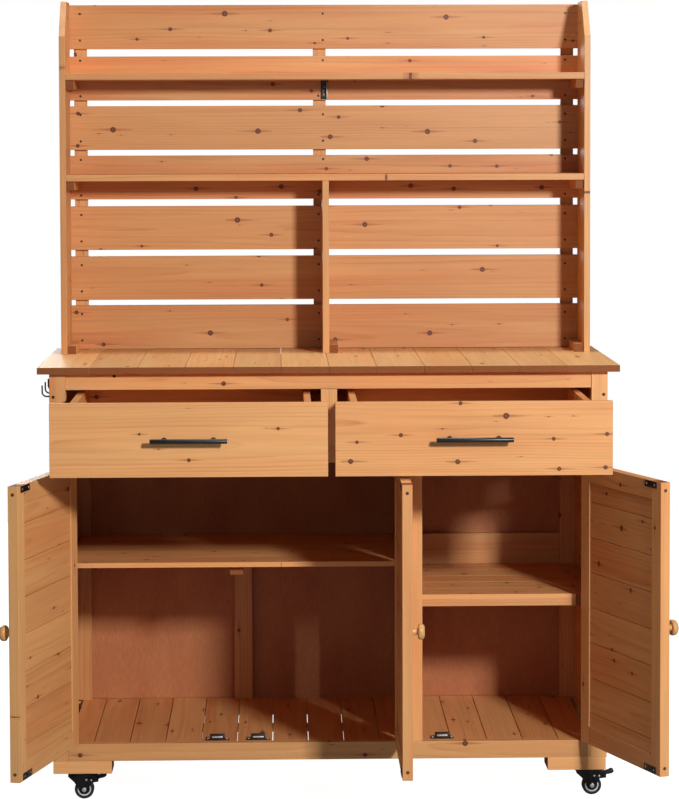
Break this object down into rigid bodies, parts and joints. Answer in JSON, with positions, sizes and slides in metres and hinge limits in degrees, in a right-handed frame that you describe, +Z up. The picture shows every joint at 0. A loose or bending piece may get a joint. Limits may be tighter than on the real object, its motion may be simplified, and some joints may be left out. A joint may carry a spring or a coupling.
{
  "type": "potting bench",
  "caption": "Wooden potting bench on castors: a cabinet with three doors and two drawers under a plank worktop, and a slatted hutch with shelves above it.",
  "frame": {"origin": "on the floor, in the middle of the footprint of the bench with its doors and drawers open as modelled", "axes": "+Z up; +X to the right as seen from the front; the front faces -Y and the back +Y"},
  "size_m": [1.3142, 0.8382, 1.659],
  "materials": {
    "fir_frame": "satin varnish",
    "fir_boards": "satin varnish",
    "fir_worktop": "satin varnish",
    "plywood": "stained plywood",
    "turned_wood": "turned and varnished",
    "black_steel": "satin black coat",
    "zinc_steel": "zinc plated",
    "castor_black": "gloss black coat",
    "pedal_black": "moulded",
    "hub_grey": "moulded",
    "tyre_black": "moulded rubber",
    "catch_black": "moulded"
  },
  "bodies": {
    "cabinet": {"back_battens": "fir_boards", "back_panel": "plywood", "cabinet_hinges": "black_steel", "castor_blocks": "fir_frame", "castor_plates": "castor_black", "corner_posts": "fir_frame", "deck_boards": "fir_boards", "door_catches": "catch_black", "drawer_runners": "fir_boards", "frame_rails": "fir_frame", "hutch_battens": "fir_frame", "hutch_cleats": "fir_boards", "hutch_divider": "fir_frame", "hutch_shelves": "fir_boards", "hutch_sides": "fir_frame", "hutch_slats": "fir_boards", "inner_bearers": "fir_boards", "left_shelf": "fir_boards", "mid_posts": "fir_frame", "partition_planks": "fir_boards", "right_shelf": "fir_boards", "shelf_bracket": "zinc_steel", "shelf_cleats": "fir_boards", "side_planks": "fir_boards", "tool_hooks": "black_steel", "wood_screws": "black_steel", "worktop_boards": "fir_worktop"},
    "left_door": {"left_door_frame": "fir_frame", "left_door_planks": "fir_boards", "left_door_knob": "turned_wood", "left_door_plates": "black_steel"},
    "middle_door": {"middle_door_frame": "fir_frame", "middle_door_planks": "fir_boards", "middle_door_knob": "turned_wood", "middle_door_plates": "black_steel"},
    "right_door": {"right_door_frame": "fir_frame", "right_door_planks": "fir_boards", "right_door_knob": "turned_wood", "right_door_plates": "black_steel"},
    "left_drawer": {"left_drawer_front": "fir_boards", "left_drawer_box": "fir_boards", "left_drawer_pull": "black_steel"},
    "right_drawer": {"right_drawer_front": "fir_boards", "right_drawer_box": "fir_boards", "right_drawer_pull": "black_steel"},
    "front_left_castor_swivel": {"front_left_castor_fork": "castor_black"},
    "front_left_castor_wheel": {"front_left_castor_hub": "hub_grey", "front_left_castor_tyre": "tyre_black"},
    "front_left_castor_pedal": {"front_left_castor_pedal": "pedal_black"},
    "front_right_castor_swivel": {"front_right_castor_fork": "castor_black"},
    "front_right_castor_wheel": {"front_right_castor_hub": "hub_grey", "front_right_castor_tyre": "tyre_black"},
    "front_right_castor_pedal": {"front_right_castor_pedal": "pedal_black"},
    "rear_left_castor_swivel": {"rear_left_castor_fork": "castor_black"},
    "rear_left_castor_wheel": {"rear_left_castor_hub": "hub_grey", "rear_left_castor_tyre": "tyre_black"},
    "rear_right_castor_swivel": {"rear_right_castor_fork": "castor_black"},
    "rear_right_castor_wheel": {"rear_right_castor_hub": "hub_grey", "rear_right_castor_tyre": "tyre_black"}
  },
  "joints": [
    {"name": "left_door_hinge", "type": "hinge", "parent": "cabinet", "child": "left_door", "pos_m": [-0.54975, -0.07375, 0.41225], "axis": [0, 0, -1], "range_deg": [-105, 70]},
    {"name": "middle_door_hinge", "type": "hinge", "parent": "cabinet", "child": "middle_door", "pos_m": [0.14225, -0.07375, 0.41225], "axis": [0, 0, 1], "range_deg": [-90, 80]},
    {"name": "right_door_hinge", "type": "hinge", "parent": "cabinet", "child": "right_door", "pos_m": [0.52225, -0.07375, 0.41225], "axis": [0, 0, 1], "range_deg": [-110, 65]},
    {"name": "left_drawer_slide", "type": "slide", "parent": "cabinet", "child": "left_drawer", "axis": [0, -1, 0], "range_m": [-0.252, 0.098]},
    {"name": "right_drawer_slide", "type": "slide", "parent": "cabinet", "child": "right_drawer", "axis": [0, -1, 0], "range_m": [-0.252, 0.098]},
    {"name": "front_left_castor_turn", "type": "hinge", "parent": "cabinet", "child": "front_left_castor_swivel", "pos_m": [-0.53975, -0.02085, 0.052], "axis": [0, 0, 1], "continuous": true},
    {"name": "front_left_castor_roll", "type": "hinge", "parent": "front_left_castor_swivel", "child": "front_left_castor_wheel", "pos_m": [-0.52175, -0.02085, 0.02], "axis": [0, 1, 0], "continuous": true},
    {"name": "front_left_castor_brake", "type": "hinge", "parent": "front_left_castor_swivel", "child": "front_left_castor_pedal", "pos_m": [-0.50675, -0.02085, 0.04], "axis": [0, 1, 0], "range_deg": [0, 18]},
    {"name": "front_right_castor_turn", "type": "hinge", "parent": "cabinet", "child": "front_right_castor_swivel", "pos_m": [0.51225, -0.02085, 0.052], "axis": [0, 0, 1], "continuous": true},
    {"name": "front_right_castor_roll", "type": "hinge", "parent": "front_right_castor_swivel", "child": "front_right_castor_wheel", "pos_m": [0.53025, -0.02085, 0.02], "axis": [0, 1, 0], "continuous": true},
    {"name": "front_right_castor_brake", "type": "hinge", "parent": "front_right_castor_swivel", "child": "front_right_castor_pedal", "pos_m": [0.54525, -0.02085, 0.04], "axis": [0, 1, 0], "range_deg": [0, 18]},
    {"name": "rear_left_castor_turn", "type": "hinge", "parent": "cabinet", "child": "rear_left_castor_swivel", "pos_m": [-0.53975, 0.35415, 0.052], "axis": [0, 0, 1], "continuous": true},
    {"name": "rear_left_castor_roll", "type": "hinge", "parent": "rear_left_castor_swivel", "child": "rear_left_castor_wheel", "pos_m": [-0.52175, 0.35415, 0.02], "axis": [0, 1, 0], "continuous": true},
    {"name": "rear_right_castor_turn", "type": "hinge", "parent": "cabinet", "child": "rear_right_castor_swivel", "pos_m": [0.51225, 0.35415, 0.052], "axis": [0, 0, 1], "continuous": true},
    {"name": "rear_right_castor_roll", "type": "hinge", "parent": "rear_right_castor_swivel", "child": "rear_right_castor_wheel", "pos_m": [0.53025, 0.35415, 0.02], "axis": [0, 1, 0], "continuous": true}
  ]
}
